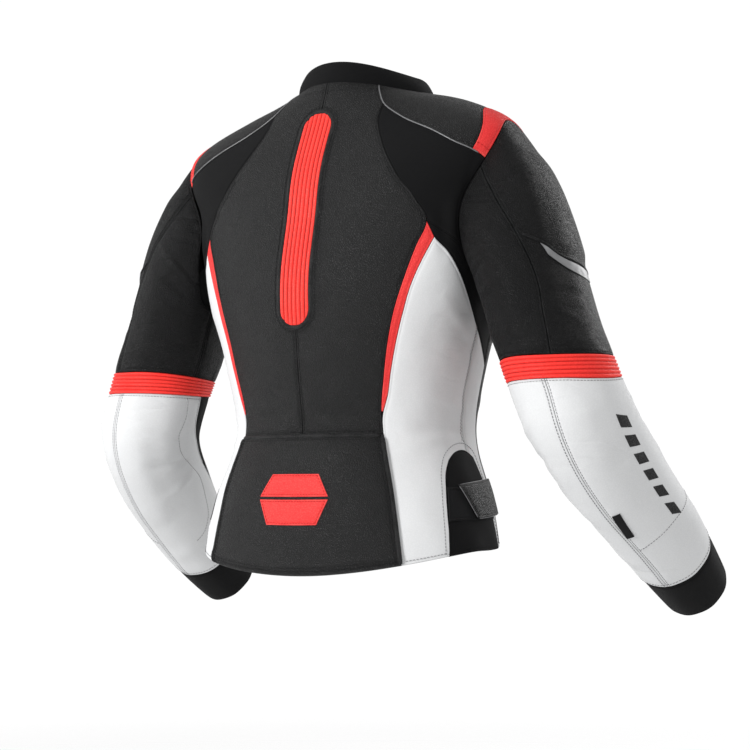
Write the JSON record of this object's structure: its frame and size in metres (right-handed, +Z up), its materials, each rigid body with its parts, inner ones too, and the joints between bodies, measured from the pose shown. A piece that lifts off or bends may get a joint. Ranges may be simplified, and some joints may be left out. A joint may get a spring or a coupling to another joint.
{
  "type": "leather riding jacket",
  "caption": "Short fitted leather riding jacket with accordion stretch panels at spine and elbows, standing collar, front zip, hip adjusters and body armour inside.",
  "frame": {"origin": "centre-back neck seam, where the hang loop holds the jacket up", "axes": "+Z up, +Y out of the back, +X to the wearer's left"},
  "size_m": [0.7658, 0.3477, 0.6381],
  "materials": {
    "black_leather": "fine grain, satin",
    "stretch_fabric": "matt ribbed stretch",
    "white_leather": "fine grain, satin",
    "red_leather": "fine grain, satin",
    "red_stretch": "accordion ribs, satin",
    "neoprene": "matt foam-backed knit",
    "zip_tape": "woven, matt",
    "zip_metal": "dark nickel",
    "mesh_lining": "knitted mesh",
    "armour": "moulded foam",
    "reflective": "retroreflective film"
  },
  "bodies": {
    "torso": {"back_panel_left": "black_leather", "back_panel_right": "black_leather", "spine_stretch_panel": "red_stretch", "spine_piping": "black_leather", "lower_back_panel": "black_leather", "lower_back_emblem": "red_leather", "accent_strips": "red_leather", "side_panel_left": "white_leather", "side_panel_right": "white_leather", "side_front_panels": "white_leather", "hip_gussets": "neoprene", "adjuster_loops": "neoprene", "blade_panel_left": "stretch_fabric", "blade_panel_right": "stretch_fabric", "underarm_panels": "stretch_fabric", "yoke_left": "black_leather", "yoke_right": "black_leather", "shoulder_bands": "red_leather", "front_panel_left": "black_leather", "front_panel_right": "black_leather", "chest_panels": "black_leather", "collar": "neoprene", "front_zip_teeth": "zip_metal", "front_zip_tapes": "zip_tape", "storm_flap": "black_leather", "pocket_zips": "zip_tape", "torso_lining": "mesh_lining", "back_protector": "armour", "waist_connection_zip": "zip_tape", "hang_loop": "zip_tape"},
    "arm_right": {"sleeve_cap_right": "black_leather", "sleeve_back_right": "black_leather", "sleeve_front_right": "black_leather", "underarm_gusset_right": "stretch_fabric", "shoulder_armour_right": "armour", "reflective_strip_right": "reflective", "elbow_stretch_band_right": "red_stretch"},
    "forearm_right": {"forearm_outer_right": "white_leather", "forearm_under_right": "white_leather", "crook_panel_right": "stretch_fabric", "elbow_armour_right": "armour", "cuff_right": "neoprene"},
    "waist_tab_right": {"waist_tab_right": "black_leather"},
    "pocket_slider_right": {"pocket_slider_right": "zip_metal"},
    "arm_left": {"sleeve_cap_left": "black_leather", "sleeve_back_left": "black_leather", "sleeve_front_left": "black_leather", "underarm_gusset_left": "stretch_fabric", "shoulder_armour_left": "armour", "reflective_strip_left": "reflective", "elbow_stretch_band_left": "red_stretch"},
    "forearm_left": {"forearm_outer_left": "white_leather", "forearm_under_left": "white_leather", "crook_panel_left": "stretch_fabric", "elbow_armour_left": "armour", "cuff_left": "neoprene"},
    "waist_tab_left": {"waist_tab_left": "black_leather"},
    "pocket_slider_left": {"pocket_slider_left": "zip_metal"},
    "front_slider": {"front_slider": "zip_metal"},
    "front_pull": {"front_pull": "zip_metal"}
  },
  "joints": [
    {"name": "shoulder_right", "type": "hinge", "parent": "torso", "child": "arm_right", "pos_m": [-0.20404, -0.052, -0.05436], "axis": [0, 1, 0], "range_deg": [0, 40], "deforming": ["underarm_gusset_right"]},
    {"name": "elbow_right", "type": "hinge", "parent": "arm_right", "child": "forearm_right", "pos_m": [-0.2845, -0.04451, -0.35046], "axis": [-0.9227, 0.0178, 0.385], "range_deg": [-10, 25], "deforming": ["elbow_stretch_band_right", "crook_panel_right"]},
    {"name": "waist_tab_right", "type": "hinge", "parent": "torso", "child": "waist_tab_right", "pos_m": [-0.16712, -0.08899, -0.47688], "axis": [0.1773, 0.2047, 0.9626], "range_deg": [0, 110]},
    {"name": "pocket_zip_right", "type": "slide", "parent": "torso", "child": "pocket_slider_right", "axis": [-0.079, 0.0285, -0.9965], "range_m": [0, 0.0717]},
    {"name": "shoulder_left", "type": "hinge", "parent": "torso", "child": "arm_left", "pos_m": [0.20404, -0.052, -0.05436], "axis": [0, -1, 0], "range_deg": [0, 40], "deforming": ["underarm_gusset_left"]},
    {"name": "elbow_left", "type": "hinge", "parent": "arm_left", "child": "forearm_left", "pos_m": [0.2845, -0.04451, -0.35046], "axis": [-0.9227, -0.0178, -0.385], "range_deg": [-10, 25], "deforming": ["elbow_stretch_band_left", "crook_panel_left"]},
    {"name": "waist_tab_left", "type": "hinge", "parent": "torso", "child": "waist_tab_left", "pos_m": [0.16712, -0.08899, -0.47688], "axis": [0.1773, -0.2047, -0.9626], "range_deg": [0, 110]},
    {"name": "pocket_zip_left", "type": "slide", "parent": "torso", "child": "pocket_slider_left", "axis": [0.079, 0.0285, -0.9965], "range_m": [0, 0.0717]},
    {"name": "front_zip", "type": "slide", "parent": "torso", "child": "front_slider", "axis": [0, 0, -1], "range_m": [0, 0.42]},
    {"name": "front_pull", "type": "hinge", "parent": "front_slider", "child": "front_pull", "pos_m": [0, -0.17775, -0.07785], "axis": [-1, 0, 0], "range_deg": [0, 150]}
  ]
}
